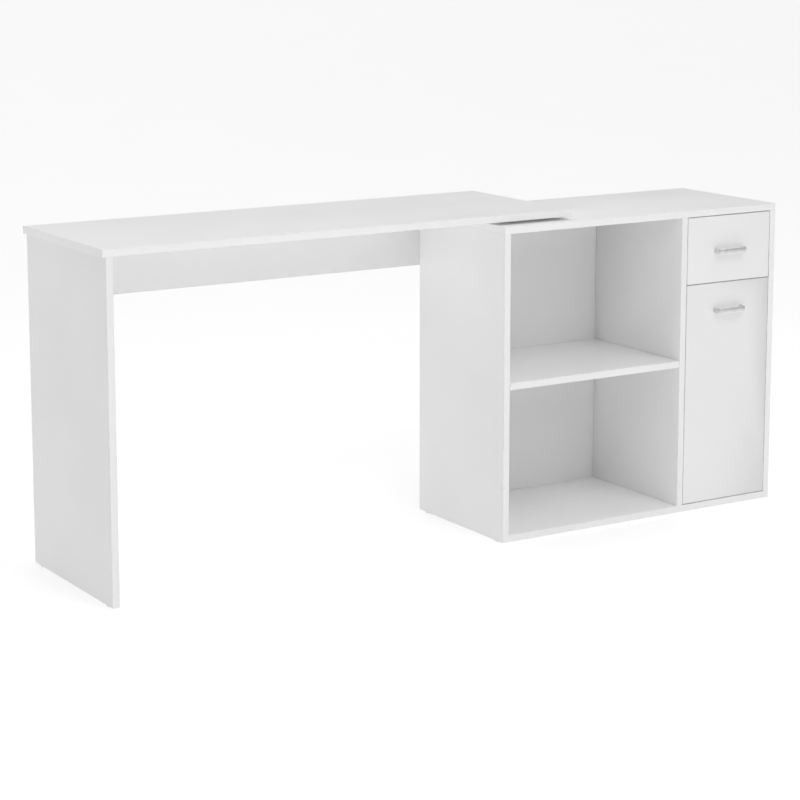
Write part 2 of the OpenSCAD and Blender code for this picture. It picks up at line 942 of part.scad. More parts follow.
module catch_strike() {
    low = mid_z - catch_size[2];
    color("lightgray") translate(datum) {
        board(
            [catch_at[0] + strike_inset, board_t, low],
            [catch_at[0] + catch_size[0] - strike_inset, board_t + strike_t, mid_z]
        );
        rod_y(strike_pin_at(), strike_nail + eps, nail_r);
    }
}

cab_side_left();
cab_side_right();
cab_divider();
cab_top();
cab_bottom();
cab_mid_board();
cab_shelf();
cab_back();
shelf_pins();
cab_dowels();
cab_cams();
cab_cam_bolts();
cab_glides();
pivot_base_plate();
pivot_glide_ring();
pivot_pin();
pivot_base_screws();
desktop();
leg_panel();
apron();
desk_dowels();
desk_cams();
desk_cam_bolts();
leg_glides();
pivot_top_plate();
pivot_top_screws();
runner_outer_left();
runner_outer_right();
runner_outer_screws();
runner_ball_strips();
runner_balls();
runner_inner_left();
runner_inner_right();
runner_inner_screws();
drawer_front();
drawer_side_left();
drawer_side_right();
drawer_back();
drawer_bottom();
drawer_dowels();
drawer_handle();
drawer_handle_screws();
door();
door_handle();
door_handle_screws();
hinge_cups();
hinge_pins();
hinge_cup_screws();
catch_strike();
hinge_arms();
hinge_plates();
hinge_plate_screws();
magnetic_catch();
catch_screws();
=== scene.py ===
import json
import math

import bmesh
import bpy
from mathutils import Matrix, Vector


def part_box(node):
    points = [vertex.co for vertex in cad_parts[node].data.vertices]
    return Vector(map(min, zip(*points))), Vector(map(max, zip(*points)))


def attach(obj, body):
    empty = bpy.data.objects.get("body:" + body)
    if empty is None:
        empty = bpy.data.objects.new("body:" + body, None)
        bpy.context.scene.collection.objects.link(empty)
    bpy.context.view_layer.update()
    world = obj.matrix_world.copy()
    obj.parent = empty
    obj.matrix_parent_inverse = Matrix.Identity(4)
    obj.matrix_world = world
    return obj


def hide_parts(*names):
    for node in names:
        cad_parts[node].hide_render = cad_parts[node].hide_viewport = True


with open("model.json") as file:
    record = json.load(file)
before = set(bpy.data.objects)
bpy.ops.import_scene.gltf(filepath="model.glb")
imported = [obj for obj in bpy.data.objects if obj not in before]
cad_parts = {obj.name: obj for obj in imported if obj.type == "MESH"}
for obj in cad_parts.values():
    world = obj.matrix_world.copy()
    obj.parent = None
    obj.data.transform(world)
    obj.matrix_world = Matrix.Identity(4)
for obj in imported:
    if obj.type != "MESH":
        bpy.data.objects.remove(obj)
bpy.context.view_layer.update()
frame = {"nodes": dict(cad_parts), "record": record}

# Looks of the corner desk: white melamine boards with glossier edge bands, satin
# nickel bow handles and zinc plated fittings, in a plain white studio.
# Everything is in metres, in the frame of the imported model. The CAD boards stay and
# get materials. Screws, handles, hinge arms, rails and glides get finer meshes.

NODES = frame["nodes"]
RECORD = frame["record"]
BODY_OF = {node: body for body, nodes in RECORD["behaviour"]["bodies"].items() for node in nodes}
SLOT_OF = {node: shown.data.materials[0].name for node, shown in NODES.items()}
MM = 0.001

# Boards, by what they are made of
MELAMINE_BOARDS = [
    "desktop", "leg_panel", "apron", "cab_top", "cab_bottom", "cab_side_left", "cab_side_right",
    "cab_divider", "cab_shelf", "cab_mid_board", "drawer_front", "door",
]
DRAWER_BOARDS = ["drawer_side_left", "drawer_side_right", "drawer_back"]
THIN_BOARDS = ["cab_back", "drawer_bottom"]

# Boards and their edges
BAND_T = 0.8 * MM            # thickness of the edge band
SEAM_HALF = 0.07 * MM        # half the width of the glue line beside it
SKIN_T = 0.6 * MM            # melamine over the chipboard core
LACQUER_T = 0.15 * MM        # lacquer on each face of a thin board
CUT_T = 0.05 * MM            # how deep the look of its bare cut edge goes
ARRIS_W = 1.6 * MM           # how far wear reaches from a board's arris
EDGE_EASE = 0.5 * MM         # radius of a board's eased edges
TOUCH = 0.01 * MM            # how near counts as on a face

# Screws. A head is a list of (radius, height) points, from its flat top down to the shank
SUNK_HEAD = [(3.3 * MM, 0.0), (3.6 * MM, -0.15 * MM), (3.6 * MM, -0.3 * MM), (1.3 * MM, -2.0 * MM)]
PAN_HEAD = [
    (2.6 * MM, 1.0 * MM), (3.3 * MM, 0.75 * MM), (3.6 * MM, 0.3 * MM),
    (3.6 * MM, 0.0), (1.3 * MM, -0.1 * MM),
]
BIG_PAN_HEAD = [
    (2.8 * MM, 0.0), (3.6 * MM, -0.3 * MM), (4.0 * MM, -0.9 * MM),
    (4.0 * MM, -2.2 * MM), (1.9 * MM, -2.2 * MM),
]
ADJUSTER_HEAD = [(1.2 * MM, 1.1 * MM), (2.9 * MM, 1.0 * MM), (3.2 * MM, 0.7 * MM), (3.2 * MM, 0.0)]
WOOD_SCREW = (1.75 * MM, 1.6 * MM)       # radius of the shank and pitch of the thread
HANDLE_SCREW = (2.0 * MM, 0.8 * MM)
ADJUSTER = (2.4 * MM, 0.8 * MM)
ADJUSTER_LEN = 6.0 * MM
SCREW_KINDS = [              # (CAD nodes, head, shank and thread)
    (["pivot_base_screws", "pivot_top_screws"], SUNK_HEAD, WOOD_SCREW),
    (["hinge_cup_screws", "hinge_plate_screws", "catch_screws"], SUNK_HEAD, WOOD_SCREW),
    (["runner_outer_screws", "runner_inner_screws"], PAN_HEAD, WOOD_SCREW),
    (["drawer_handle_screws", "door_handle_screws"], BIG_PAN_HEAD, HANDLE_SCREW),
]
CROSS_REACH = 0.55           # the recess's half length and half width, as shares of the flat top
CROSS_HALF = 0.14
RECESS = [(0.3, 1.5 * MM), (0.8, 1.3 * MM), (1.0, 0.0)]      # (share of the cross, depth)
THREAD_STEPS = 5             # rings of corners in one turn of a thread
THREAD_ROOT = 0.72           # radius between the crests, as a share of the shank's
CREST_HALF = 0.35            # half a crest's width, as a share of the pitch
POINT_R = 0.08 * MM

# Handles
BOW_BAR = 5.0 * MM           # thickness of the bar
BOW_FOOT = 8.0 * MM          # and of the feet
BOW_BEND = 10.0 * MM         # radius of the bends

# Hinge arms, measured from the hinge pin
EYE_R = 2.1 * MM
ARM_T = 1.8 * MM
ARM_W = 12.0 * MM
ARM_HOOK = 13.0 * MM         # from the pin to the hook's outer side
ARM_BACK = 19.0 * MM         # from the pin to the hook's rear
ARM_ROOT = 10.1 * MM         # from the pin to the long stretch, on the other side
ARM_BEND = 3.5 * MM
ADJUSTERS_AT = (0.45, 0.85)  # their places along the long stretch

# Runners and glides
RAIL_T = 1.2 * MM
RAIL_BEND = 1.6 * MM
RAIL_CURL = 1.6 * MM         # how far an outer rail's flanges turn in at their ends
GLIDE_H = 3.0 * MM
GLIDE_DOME = 0.6 * MM
DOME_SHARES = (0.02, 0.3, 0.55, 0.75, 0.88)                         # of the radius
GLIDE_RIM = [(0.96, 0.9 * MM), (1.0, 1.5 * MM), (1.0, GLIDE_H)]     # (share of the radius, height)
NAIL_R = 1.5 * MM
NAIL_POINT_R = 0.1 * MM
NAIL_POINT_H = 2.0 * MM

# Colours, as linear RGB
MELAMINE_WHITE = (0.90, 0.90, 0.90)
BAND_WHITE = (0.92, 0.92, 0.92)
SEAM_GREY = (0.50, 0.50, 0.49)
LACQUER_WHITE = (0.88, 0.88, 0.88)
FOIL_WHITE = (0.74, 0.74, 0.735)
CORE_LIGHT = (0.55, 0.42, 0.27)
CORE_DARK = (0.26, 0.17, 0.09)
BEECH_LIGHT = (0.62, 0.43, 0.26)
BEECH_DARK = (0.46, 0.29, 0.16)
ZINC = (0.62, 0.64, 0.66)
ZINC_STAIN = (0.66, 0.62, 0.52)
RUNNER_STEEL = (0.66, 0.67, 0.68)
NICKEL = (0.74, 0.737, 0.732)
PLASTIC_WHITE = (0.82, 0.82, 0.82)
FLOOR_WHITE = (0.94, 0.94, 0.94)
LIGHT_WHITE = (1.0, 1.0, 1.0, 1.0)       # with alpha, as a shader's own socket takes it

# Camera
VIEW_YAW = math.radians(32.02)      # how far it stands round to the left
VIEW_PITCH = math.radians(9.30)     # how far it looks down
CAMERA_AT = (-2.777, -4.346, 1.432)
LENS_MM = 103.2
SENSOR_MM = 36.0
SHIFT_Y = -0.15                     # a little, so that the uprights stay nearly parallel

# Studio light
WORLD_BASE = 0.02
HAZE = 0.55                         # bright haze at the horizon, which hides the floor's far edge
HAZE_TOP = 0.10                     # where the haze ends, from 0 level to 1 straight up
WORLD_LOBES = [((0, 0, 1), 1.32), ((0, 1, 0), 0.60)]     # (toward the light, strength)
WHITE_BOUNCES = 8                   # light goes a long way round between white boards
FLOOR_HALF = 60.0                   # half the floor's width, past what the camera sees
FLOOR_GLOW = 0.24                   # lifts the floor to the white of a lit backdrop
KEY_AT = (0.1, -3.5, 3.35)          # a large softbox in front, far enough off to light evenly
KEY_AIM = (0.1, 0.0, 0.4)
KEY_SIZE = (4.4, 3.0)
KEY_WATTS = 56.0


# ---------- node graphs ----------

class Graph:
    """A node tree, with short ways to add nodes and join them."""

    def __init__(self, tree):
        self.tree = tree

    def feed(self, socket, value):
        """Links a socket to another node's output, or gives it a plain value."""
        if isinstance(value, bpy.types.NodeSocket):
            self.tree.links.new(value, socket)
        else:
            socket.default_value = value

    def add(self, kind, *values, **settings):
        """A new node's outputs. Values feed its inputs in order, where None leaves one as it is."""
        node = self.tree.nodes.new(kind)
        for name, value in settings.items():
            setattr(node, name, value)
        for socket, value in zip(node.inputs, values):
            if value is not None:
                self.feed(socket, value)
        return node.outputs

    def calc(self, operation, *values):
        return self.add("ShaderNodeMath", *values, operation=operation)[0]

    def vector(self, operation, *values):
        return self.add("ShaderNodeVectorMath", *values, operation=operation)[0]

    def split(self, vector):
        return list(self.add("ShaderNodeSeparateXYZ", vector))

    def spread(self, value, low, high, to_low, to_high):
        """value moved from the range low..high to the range to_low..to_high, and held there."""
        return self.add("ShaderNodeMapRange", value, low, high, to_low, to_high,
                        interpolation_type="SMOOTHSTEP")[0]


class Paint(Graph):
    """A material and its node tree, with the patterns that the materials here are made of."""

    def __init__(self, name):
        self.material = bpy.data.materials.new(name)
        self.material.use_nodes = True
        super().__init__(self.material.node_tree)
        self.shader = self.tree.nodes["Principled BSDF"]
        self.point = self.add("ShaderNodeTexCoord")["Object"]

    def noise(self, scale, detail=2.0, roughness=0.5, stretch=(1, 1, 1)):
        """A noise of about scale features a metre, drawn out along an axis whose stretch is under 1."""
        node = self.tree.nodes.new("ShaderNodeTexNoise")
        self.feed(node.inputs["Vector"], self.vector("MULTIPLY", self.point, stretch))
        node.inputs["Scale"].default_value = scale
        node.inputs["Detail"].default_value = detail
        node.inputs["Roughness"].default_value = roughness
        return node.outputs["Fac"]

    def mix(self, factor, a, b):
        """a where factor is 0, b where it is 1."""
        node = self.tree.nodes.new("ShaderNodeMix")
        node.data_type = "RGBA"
        for index, value in ((0, factor), (6, a), (7, b)):
            if isinstance(value, tuple):
                value = (*value, 1.0)
            self.feed(node.inputs[index], value)
        return node.outputs[2]

    def shade(self, colour, factor):
        """colour times a number."""
        node = self.tree.nodes.new("ShaderNodeVectorMath")
        node.operation = "SCALE"
        self.feed(node.inputs[0], colour)
        self.feed(node.inputs["Scale"], factor)
        return node.outputs[0]

    def bump(self, height, depth, under=None):
        """A normal from height, whose full range is depth metres, on top of an earlier bump."""
        node = self.tree.nodes.new("ShaderNodeBump")
        node.inputs["Distance"].default_value = depth
        self.feed(node.inputs["Height"], height)
        if under is not None:
            self.feed(node.inputs["Normal"], under)
        return node.outputs["Normal"]

    def finish(self, colour, roughness, normal, metallic=0.0):
        """Joins up the shader and gives the finished material."""
        self.feed(self.shader.inputs["Base Color"], colour)
        self.feed(self.shader.inputs["Roughness"], roughness)
        self.feed(self.shader.inputs["Normal"], normal)
        self.shader.inputs["Metallic"].default_value = metallic
        return self.material


# ---------- board materials ----------

def board_depths(paint, node):
    """How deep the shaded point is under a board's nearest face, and under its nearest edge."""
    low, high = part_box(node)
    middle, half = (low + high) / 2, (high - low) / 2
    offset = paint.vector("ABSOLUTE", paint.vector("SUBTRACT", paint.point, tuple(middle)))
    depths = paint.split(paint.vector("SUBTRACT", tuple(half), offset))
    thin = min(range(3), key=lambda axis: half[axis])
    across = depths.pop(thin)
    return across, paint.calc("MINIMUM", *depths)


def core_colour(paint):
    """Bare chipboard, seen inside bores and grooves."""
    chips = paint.noise(420, detail=5, roughness=0.7)
    return paint.mix(paint.spread(chips, 0.35, 0.65, 0, 1), CORE_DARK, CORE_LIGHT)


def pearl_bump(paint):
    """The fine pearl of a pressed melamine face, over a hardly visible waviness."""
    wave = paint.bump(paint.noise(9, detail=1), 0.06 * MM)
    return paint.bump(paint.noise(900, detail=2, roughness=0.6), 0.012 * MM, wave)


def handled(paint, colour, scale):
    """colour with the faint clouding of a cleaned surface."""
    cloud = paint.spread(paint.noise(scale, detail=3), 0.3, 0.7, 0.985, 1.01)
    grain = paint.spread(paint.noise(650, detail=2), 0.3, 0.7, 0.99, 1.008)
    return paint.shade(colour, paint.calc("MULTIPLY", cloud, grain))


def board_material(node, face, name):
    """A coated chipboard with banded edges: face colour, band, glue line, worn arris and bare core."""
    paint = Paint(f"{name}_{node}")
    across, inset = board_depths(paint, node)
    band = paint.calc("LESS_THAN", inset, BAND_T)
    seam = paint.calc("COMPARE", inset, BAND_T, SEAM_HALF)
    bare = paint.calc("GREATER_THAN", paint.calc("MINIMUM", across, inset), SKIN_T)
    arris = paint.spread(paint.calc("MAXIMUM", across, inset), 0.0, ARRIS_W, 1, 0)
    worn = paint.calc("MULTIPLY", arris, paint.spread(paint.noise(55, detail=4), 0.42, 0.72, 0, 1))

    colour = paint.mix(band, face, BAND_WHITE)
    colour = paint.mix(paint.calc("MULTIPLY", seam, 0.7), colour, SEAM_GREY)
    colour = paint.mix(paint.calc("MULTIPLY", worn, 0.35), colour, SEAM_GREY)
    colour = handled(paint, colour, 4)
    colour = paint.mix(bare, colour, core_colour(paint))

    smudge = paint.spread(paint.noise(7, detail=4, roughness=0.6), 0.35, 0.7, 0.40, 0.50)
    gloss = paint.calc("SUBTRACT", smudge, paint.calc("MULTIPLY", band, 0.10))
    rough = paint.calc("ADD", gloss, paint.calc("MULTIPLY", bare, 0.45))
    rough = paint.calc("ADD", rough, paint.calc("MULTIPLY", worn, 0.12))

    groove = paint.bump(paint.calc("SUBTRACT", 1.0, seam), 0.05 * MM, pearl_bump(paint))
    chips = paint.bump(paint.calc("MULTIPLY", bare, paint.noise(700, detail=4)), 0.5 * MM, groove)
    return paint.finish(colour, rough, chips)


def hardboard_material(node):
    """Lacquered hardboard: a faint roller texture over a slow waviness, and bare fibre on cut edges."""
    paint = Paint(f"lacquered_hardboard_{node}")
    across, inset = board_depths(paint, node)
    fibre = paint.calc("GREATER_THAN", across, LACQUER_T)
    cut_edge = paint.calc("LESS_THAN", inset, CUT_T)
    raw = paint.calc("MULTIPLY", fibre, cut_edge)
    colour = paint.mix(raw, handled(paint, LACQUER_WHITE, 3), CORE_DARK)
    rough = paint.spread(paint.noise(10, detail=4), 0.35, 0.7, 0.46, 0.58)
    roller = paint.bump(paint.noise(380, detail=3, roughness=0.65), 0.03 * MM)
    wave = paint.bump(paint.noise(5, detail=1), 0.25 * MM, roller)
    return paint.finish(colour, rough, wave)


# ---------- metal, plastic and wood materials ----------

def zinc_material():
    """Zinc plated steel: a cool grey with soft mottling and fine tumbling marks."""
    paint = Paint("zinc_plated_steel")
    mottle = paint.noise(260, detail=4, roughness=0.65)
    colour = paint.shade(ZINC, paint.spread(mottle, 0.3, 0.7, 0.86, 1.06))
    stain = paint.spread(paint.noise(90, detail=3), 0.55, 0.8, 0, 0.25)
    colour = paint.mix(stain, colour, ZINC_STAIN)
    rough = paint.spread(paint.noise(500, detail=3), 0.3, 0.7, 0.26, 0.42)
    normal = paint.bump(paint.noise(1500, detail=3, roughness=0.7), 0.02 * MM)
    return paint.finish(colour, rough, normal, metallic=1.0)


def brushed_material(name, base, along, rough_low, rough_high, depth):
    """Metal brushed along one axis: streaks in colour, roughness and bump."""
    paint = Paint(name)
    stretch = [1.0, 1.0, 1.0]
    stretch[along] = 0.02
    streaks = paint.noise(2600, detail=3, roughness=0.6, stretch=tuple(stretch))
    cloud = paint.spread(paint.noise(40, detail=2), 0.3, 0.7, 0.95, 1.03)
    tint = paint.calc("MULTIPLY", paint.spread(streaks, 0.3, 0.7, 0.93, 1.05), cloud)
    rough = paint.spread(streaks, 0.3, 0.7, rough_low, rough_high)
    return paint.finish(paint.shade(base, tint), rough, paint.bump(streaks, depth), metallic=1.0)


def plastic_material():
    """White moulded plastic with a fine spark-eroded grain."""
    paint = Paint("white_moulded_plastic")
    colour = handled(paint, PLASTIC_WHITE, 30)
    rough = paint.spread(paint.noise(120, detail=3), 0.3, 0.7, 0.38, 0.52)
    normal = paint.bump(paint.noise(1400, detail=3, roughness=0.6), 0.03 * MM)
    paint.shader.inputs["Subsurface Weight"].default_value = 0.05
    paint.shader.inputs["Subsurface Scale"].default_value = 0.5 * MM
    return paint.finish(colour, rough, normal)


def beech_material():
    """Raw beech, for the dowels: short darker flecks along the grain."""
    paint = Paint("raw_beech")
    fleck = paint.noise(900, detail=4, roughness=0.6, stretch=(1, 1, 0.12))
    colour = paint.mix(paint.spread(fleck, 0.4, 0.65, 0, 1), BEECH_LIGHT, BEECH_DARK)
    rough = paint.spread(fleck, 0.3, 0.7, 0.62, 0.75)
    return paint.finish(colour, rough, paint.bump(fleck, 0.08 * MM))


# ---------- CAD nodes: eased edges and materials ----------

def edge_marker():
    """Geometry nodes that give a board's outer edges a bevel weight and keep its other corners sharp."""
    group = bpy.data.node_groups.new("mark_board_edges", "GeometryNodeTree")
    for way in ("INPUT", "OUTPUT"):
        group.interface.new_socket("Geometry", in_out=way, socket_type="NodeSocketGeometry")
    graph = Graph(group)

    board = graph.add("NodeGroupInput")[0]
    box = graph.add("GeometryNodeBoundBox", board)
    place = graph.add("GeometryNodeInputPosition")[0]
    gaps = [
        graph.vector("ABSOLUTE", graph.vector("SUBTRACT", place, box[end])) for end in ("Min", "Max")
    ]
    on_face = [graph.calc("LESS_THAN", gap, TOUCH) for gap in graph.split(graph.vector("MINIMUM", *gaps))]
    faces = graph.calc("ADD", graph.calc("ADD", on_face[0], on_face[1]), on_face[2])
    outer = graph.calc("GREATER_THAN", faces, 1.5)      # the middle of an outer edge is on two faces

    plain = graph.add("GeometryNodeRemoveAttribute", board, None, "custom_normal")[0]
    bend = graph.add("GeometryNodeInputMeshEdgeAngle")[0]
    corner = graph.calc("GREATER_THAN", bend, math.radians(30))
    inner_corner = graph.add("ShaderNodeMath", corner, outer, operation="SUBTRACT", use_clamp=True)[0]
    smooth = graph.add("GeometryNodeSetShadeSmooth", plain, None, True)[0]
    creased = graph.add("GeometryNodeSetShadeSmooth", smooth, inner_corner, False, domain="EDGE")[0]
    marked = graph.add(
        "GeometryNodeStoreNamedAttribute", creased, None, "bevel_weight_edge", outer,
        data_type="FLOAT", domain="EDGE",
    )[0]
    graph.add("NodeGroupOutput", marked)
    return group


def ease_edges(node, marker):
    """Rounds the outer edges of a CAD board with modifiers. Its own mesh stays as it is."""
    board = NODES[node]
    board.modifiers.new("join_corners", "WELD").merge_threshold = TOUCH
    flat = board.modifiers.new("flat_faces", "DECIMATE")
    flat.decimate_type = "DISSOLVE"
    flat.angle_limit = math.radians(0.5)
    board.modifiers.new("mark_edges", "NODES").node_group = marker
    bevel = board.modifiers.new("eased_edges", "BEVEL")
    bevel.limit_method = "WEIGHT"
    bevel.width = EDGE_EASE
    bevel.segments = 3
    bevel.use_clamp_overlap = False
    bevel.harden_normals = True


def coat(node, material):
    """Gives a CAD node one material."""
    for slot in NODES[node].material_slots:
        slot.link = "OBJECT"
        slot.material = material


def finish_boards():
    """Materials of the CAD boards, and eased edges on the chipboard ones."""
    marker = edge_marker()
    for node in MELAMINE_BOARDS:
        coat(node, board_material(node, MELAMINE_WHITE, "melamine"))
    for node in DRAWER_BOARDS:
        coat(node, board_material(node, FOIL_WHITE, "foil"))
    for node in MELAMINE_BOARDS + DRAWER_BOARDS:
        ease_edges(node, marker)
    for node in THIN_BOARDS:
        coat(node, hardboard_material(node))


def finish_fittings():
    """Materials of the CAD nodes that aren't boards, by their slot in the record."""
    materials = {
        "zinc_steel": zinc_material(),
        "runner_steel": brushed_material("runner_steel", RUNNER_STEEL, 1, 0.24, 0.36, 0.01 * MM),
        "handle_nickel": brushed_material("satin_nickel", NICKEL, 0, 0.44, 0.56, 0.008 * MM),
        "white_plastic": plastic_material(),
        "dowel_wood": beech_material(),
    }
    boards = set(MELAMINE_BOARDS + DRAWER_BOARDS + THIN_BOARDS)
    for node in NODES:
        if node not in boards:
            coat(node, materials[SLOT_OF[node]])
    return materials


# ---------- pieces made here: shared mesh code ----------

def add_piece(name, mesh, material, body, crisp=35):
    """Puts a finished mesh in the scene as a piece on a body. Edges bent by over crisp degrees stay sharp."""
    data = bpy.data.meshes.new(name)
    bmesh.ops.recalc_face_normals(mesh, faces=mesh.faces)
    for face in mesh.faces:
        face.smooth = True
    for edge in mesh.edges:
        edge.smooth = edge.calc_face_angle(0.0) < math.radians(crisp)
    mesh.to_mesh(data)
    mesh.free()
    data.materials.append(material)
    piece = bpy.data.objects.new(name, data)
    bpy.context.scene.collection.objects.link(piece)
    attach(piece, body)
    return piece


def stand_in(node, suffix, mesh, materials):
    """Shows the finished mesh in place of a CAD node."""
    slot = SLOT_OF[node]
    piece = add_piece(f"{node}_{suffix}", mesh, materials[slot], BODY_OF[node])
    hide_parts(node)


def solids(node):
    """The corners of each separate solid of a CAD node."""
    mesh = bmesh.new()
    mesh.from_mesh(NODES[node].data)
    bmesh.ops.remove_doubles(mesh, verts=mesh.verts, dist=TOUCH)
    left = set(mesh.verts)
    found = []
    while left:
        waiting, corners = [left.pop()], []
        while waiting:
            corner = waiting.pop()
            corners.append(corner.co.copy())
            near = {edge.other_vert(corner) for edge in corner.link_edges} & left
            left -= near
            waiting += near
        found.append(corners)
    mesh.free()
    return found


def box_of(corners):
    """The least and the greatest corner of the box round some corners."""
    return Vector(map(min, zip(*corners))), Vector(map(max, zip(*corners)))


def skin(mesh, rings):
    """Faces between rings of equally many corners, and over both ends."""
    for a, b in zip(rings, rings[1:]):
        for k in range(len(a)):
            mesh.faces.new((a[k - 1], a[k], b[k], b[k - 1]))
    mesh.faces.new(rings[0])
    mesh.faces.new(rings[-1][::-1])


def round_ring(mesh, place, points):
    """A ring of corners from (angle, radius, height) points about the Z axis of place."""
    spots = [Vector((radius * math.cos(a), radius * math.sin(a), height)) for a, radius, height in points]
    return [mesh.verts.new(place @ spot) for spot in spots]


def lathe(mesh, place, profile, around=32):
    """Turns (radius, height) points about the Z axis of place."""
    turn = [k / around * 2 * math.pi for k in range(around)]
    skin(mesh, [round_ring(mesh, place, [(a, radius, height) for a in turn]) for radius, height in profile])


def rounded_route(corners, radius, steps=8):
    """A flat line through corners with its right-angled bends rounded, as (place, facing) pairs.

    Facing is a unit vector to the right of the way along."""
    line = []
    for k, corner in enumerate(corners):
        before = (corners[k - 1] - corner).normalized() if k > 0 else None
        after = (corners[k + 1] - corner).normalized() if k + 1 < len(corners) else None
        if before is None or after is None:
            way = after if before is None else -before
            line.append((corner, Vector((way.y, -way.x))))
            continue
        middle = corner + radius * (before + after)
        side = 1 if after.x * before.y - after.y * before.x > 0 else -1
        for step in range(steps + 1):
            angle = step / steps * math.pi / 2
            out = -after * math.cos(angle) - before * math.sin(angle)
            line.append((middle + radius * out, side * out))
    return line


def strap_section(thickness, height, corners=8, power=2.5):
    """A flat superellipse, thick along the facing direction and high along Z."""
    outline = []
    for k in range(4 * corners):
        angle = (k + 0.5) / (4 * corners) * 2 * math.pi
        c, s = math.cos(angle), math.sin(angle)
        outline.append((
            math.copysign(abs(c) ** (2 / power), c) * thickness / 2,
            math.copysign(abs(s) ** (2 / power), s) * height / 2,
        ))
    return outline


def strap(mesh, origin, line, height, thickness_at):
    """Sweeps a flat rounded strap, high along Z, along a line of (place, facing) pairs."""
    rings = []
    for place, facing in line:
        ring = []
        for out, up in strap_section(thickness_at(place), height):
            at = place + facing * out
            ring.append(mesh.verts.new(origin + Vector((at.x, at.y, up))))
        rings.append(ring)
    skin(mesh, rings)


# ---------- screws ----------

def cross_outline(reach, half):
    """A cross as (angle, distance) pairs, with enough angles between its corners for round rims."""
    tip = math.atan2(half, reach)
    eighth = [0, tip / 2, tip, (tip + math.pi / 4) / 2, math.pi / 4]
    quarter = eighth + [math.pi / 2 - angle for angle in eighth[3:0:-1]]
    outline = []
    for turn in range(4):
        for angle in quarter:
            small, big = sorted((abs(math.cos(angle)), abs(math.sin(angle))))
            distance = min(reach / big, half / max(small, 0.001))
            outline.append((turn * math.pi / 2 + angle, distance))
    return outline


def screw_place(corners):
    """A CAD screw's own frame, with its head's top at the origin and facing +Z, and its length."""
    low, high = box_of(corners)
    size, middle = high - low, (low + high) / 2
    axis = max(range(3), key=lambda k: size[k])
    across = (axis + 1) % 3
    rim = max(corners, key=lambda corner: abs(corner[across] - middle[across]))
    out = Vector([0.0, 0.0, 0.0])
    out[axis] = 1.0 if rim[axis] > middle[axis] else -1.0
    head = middle + out * size[axis] / 2
    turn = out.to_track_quat("Z", "Y").to_matrix().to_4x4()
    return Matrix.Translation(head) @ turn, size[axis]


def thread_rings(angles, start, end, shank_r, pitch):
    """Rings of a thread from height start down to height end, as (angle, radius, height) points."""
    rings = []
    for step in range(int((start - end) / pitch * THREAD_STEPS)):
        ring = []
        for angle in angles:
            turn = (step / THREAD_STEPS + angle / (2 * math.pi)) % 1.0
            crest = max(0.0, 1 - abs(turn - 0.5) / CREST_HALF)
            radius = shank_r * (THREAD_ROOT + (1 - THREAD_ROOT) * crest)
            ring.append((angle, radius, start - step * pitch / THREAD_STEPS))
        rings.append(ring)
    return rings


def cross_head_screw(mesh, place, length, head, shank_r, pitch):
    """A screw from the bottom of its cross recess, over the head and down the thread to its point."""
    top_r, top = head[0]
    outline = cross_outline(CROSS_REACH * top_r, CROSS_HALF * top_r)
    angles = [angle for angle, _ in outline]
    rings = [[(a, share * reach, top - depth) for a, reach in outline] for share, depth in RECESS]
    rings += [[(a, radius, height) for a in angles] for radius, height in head]
    rings += thread_rings(angles, head[-1][1] - pitch, 2 * shank_r - length, shank_r, pitch)
    rings.append([(a, POINT_R, -length) for a in angles])
    skin(mesh, [round_ring(mesh, place, ring) for ring in rings])


def make_screws(materials):
    """Cross-head screws in place of the plain CAD ones."""
    for nodes, head, (shank_r, pitch) in SCREW_KINDS:
        for node in nodes:
            mesh = bmesh.new()
            for corners in solids(node):
                place, length = screw_place(corners)
                cross_head_screw(mesh, place, length, head, shank_r, pitch)
            stand_in(node, "cross_head", mesh, materials)


# ---------- handles ----------

def make_handles(materials):
    """Satin nickel bow handles, thicker where they stand on the front."""
    for node in ("drawer_handle", "door_handle"):
        low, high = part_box(node)
        length, reach, height = high.x - low.x, high.y - low.y, high.z - low.z
        end, front = (length - BOW_FOOT) / 2, -(reach - BOW_BAR / 2)

        def thickness_at(place):
            return BOW_BAR + (BOW_FOOT - BOW_BAR) * (1 - place.y / front) ** 2

        corners = [Vector((-end, 0)), Vector((-end, front)), Vector((end, front)), Vector((end, 0))]
        origin = Vector(((low.x + high.x) / 2, high.y, (low.z + high.z) / 2))
        mesh = bmesh.new()
        strap(mesh, origin, rounded_route(corners, BOW_BEND), height, thickness_at)
        stand_in(node, "bow", mesh, materials)


# ---------- hinge arms ----------

def bent_arm(mesh, pin, end):
    """An arm from a rolled eye on the pin, hooked round to the cabinet's side and back as far as end."""
    corners = [Vector(corner) for corner in (
        (-EYE_R, 0), (-ARM_HOOK, 0), (-ARM_HOOK, ARM_BACK), (ARM_ROOT, ARM_BACK), (ARM_ROOT, end),
    )]
    strap(mesh, pin, rounded_route(corners, ARM_BEND), ARM_W, lambda place: ARM_T)
    lathe(mesh, Matrix.Translation(pin), [(EYE_R, -ARM_W / 2), (EYE_R, ARM_W / 2)], around=24)


def make_hinge_arms(materials):
    """Bent arms in place of the CAD ones, with two adjusting screws each."""
    arms, screws = bmesh.new(), bmesh.new()
    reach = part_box("hinge_arms")[1].y
    for corners in solids("hinge_pins"):
        low, high = box_of(corners)
        pin = (low + high) / 2
        end = reach - pin.y
        bent_arm(arms, pin, end)
        for share in ADJUSTERS_AT:
            at = pin + Vector((ARM_ROOT - ARM_T / 2, ARM_BACK + share * (end - ARM_BACK), 0))
            place = Matrix.Translation(at) @ Matrix.Rotation(-math.pi / 2, 4, "Y")
            cross_head_screw(screws, place, ADJUSTER_LEN, ADJUSTER_HEAD, *ADJUSTER)
    stand_in("hinge_arms", "bent", arms, materials)
    add_piece("hinge_adjusting_screws", screws, materials["zinc_steel"], "cabinet")


# ---------- runners ----------

